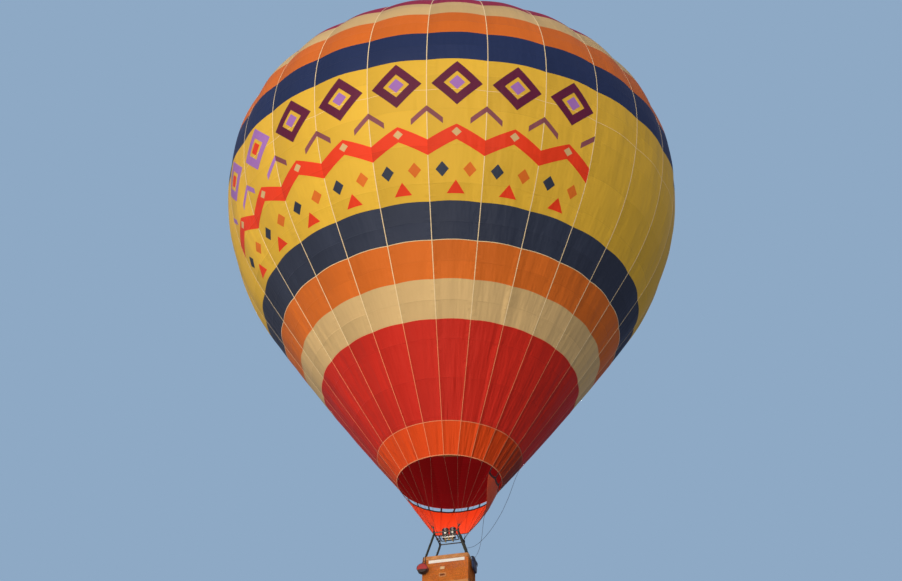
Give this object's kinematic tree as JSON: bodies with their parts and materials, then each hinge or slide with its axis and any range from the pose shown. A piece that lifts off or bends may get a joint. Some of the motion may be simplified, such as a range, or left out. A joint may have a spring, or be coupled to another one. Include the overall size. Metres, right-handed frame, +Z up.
{
  "type": "hot air balloon",
  "caption": "Hot air balloon with a striped gored envelope, parachute valve, scoop, gimballed double burner and wicker basket on padded uprights.",
  "frame": {"origin": "centre of the envelope at its widest circle, on the balloon's axis, where the air holds it up", "axes": "+Z up along the balloon's axis, -Y out of the basket's front, +X to the right of the front"},
  "size_m": [15.8098, 15.8098, 22.2154],
  "materials": {
    "nomex_fabric": "heat-proof weave",
    "red_fabric": "coated ripstop",
    "cream_fabric": "coated ripstop",
    "orange_fabric": "coated ripstop",
    "navy_fabric": "coated ripstop",
    "yellow_fabric": "coated ripstop",
    "crimson_fabric": "coated ripstop",
    "webbing": "woven tape",
    "steel": "brushed",
    "heated_steel": "heat-stained",
    "cable": "stranded",
    "upright_cover": "padded sleeve",
    "wicker": "woven, varnished",
    "suede": "suede",
    "plywood": "varnished",
    "ash": "worn",
    "cylinder_metal": "satin",
    "red_nylon": "coated nylon",
    "blue_nylon": "coated nylon",
    "banner_cloth": "coated cloth",
    "rope": "braided"
  },
  "bodies": {
    "root": {"mouth_band": "nomex_fabric", "red_band": "red_fabric", "lower_cream_band": "cream_fabric", "lower_orange_band": "orange_fabric", "lower_blue_band": "navy_fabric", "yellow_lower_band": "yellow_fabric", "yellow_middle_band": "yellow_fabric", "yellow_upper_band": "yellow_fabric", "upper_blue_band": "navy_fabric", "upper_orange_band": "orange_fabric", "upper_cream_band": "cream_fabric", "shoulder_band": "crimson_fabric", "crown_lower_band": "crimson_fabric", "crown_band": "crimson_fabric", "crown_tapes": "webbing", "wires_front_right": "cable", "wires_back_right": "cable", "wires_back_left": "cable", "wires_front_left": "cable", "scoop": "nomex_fabric", "burner_frame": "steel", "upright_front_left": "upright_cover", "upright_front_right": "upright_cover", "upright_back_right": "upright_cover", "upright_back_left": "upright_cover", "basket_front": "wicker", "basket_back": "wicker", "basket_left": "wicker", "basket_right": "wicker", "basket_rim": "suede", "basket_floor": "plywood", "runner_left": "ash", "runner_middle": "ash", "runner_right": "ash", "fuel_cylinder_front_left": "cylinder_metal", "fuel_cylinder_back_left": "cylinder_metal", "fuel_cylinder_back_right": "cylinder_metal", "red_bag": "red_nylon", "blue_bag": "blue_nylon", "name_panel": "banner_cloth", "crown_line": "rope", "handling_line": "rope"},
    "valve": {"parachute_valve": "crimson_fabric"},
    "gimbal": {"gimbal_ring": "steel"},
    "burner": {"burner_block": "steel", "burner_can_left": "heated_steel", "burner_can_right": "heated_steel"}
  },
  "joints": [
    {"name": "valve_drop", "type": "slide", "parent": "root", "child": "valve", "axis": [0, 0, 1], "range_m": [-1.2, 0], "stiffness_N_per_m": 300, "springref_m": 0.6},
    {"name": "gimbal_tilt", "type": "hinge", "parent": "root", "child": "gimbal", "pos_m": [0, 0, -13.85], "axis": [1, 0, 0], "range_deg": [-12, 12]},
    {"name": "burner_tilt", "type": "hinge", "parent": "gimbal", "child": "burner", "pos_m": [0, 0, -13.85], "axis": [0, 1, 0], "range_deg": [-12, 12]}
  ]
}
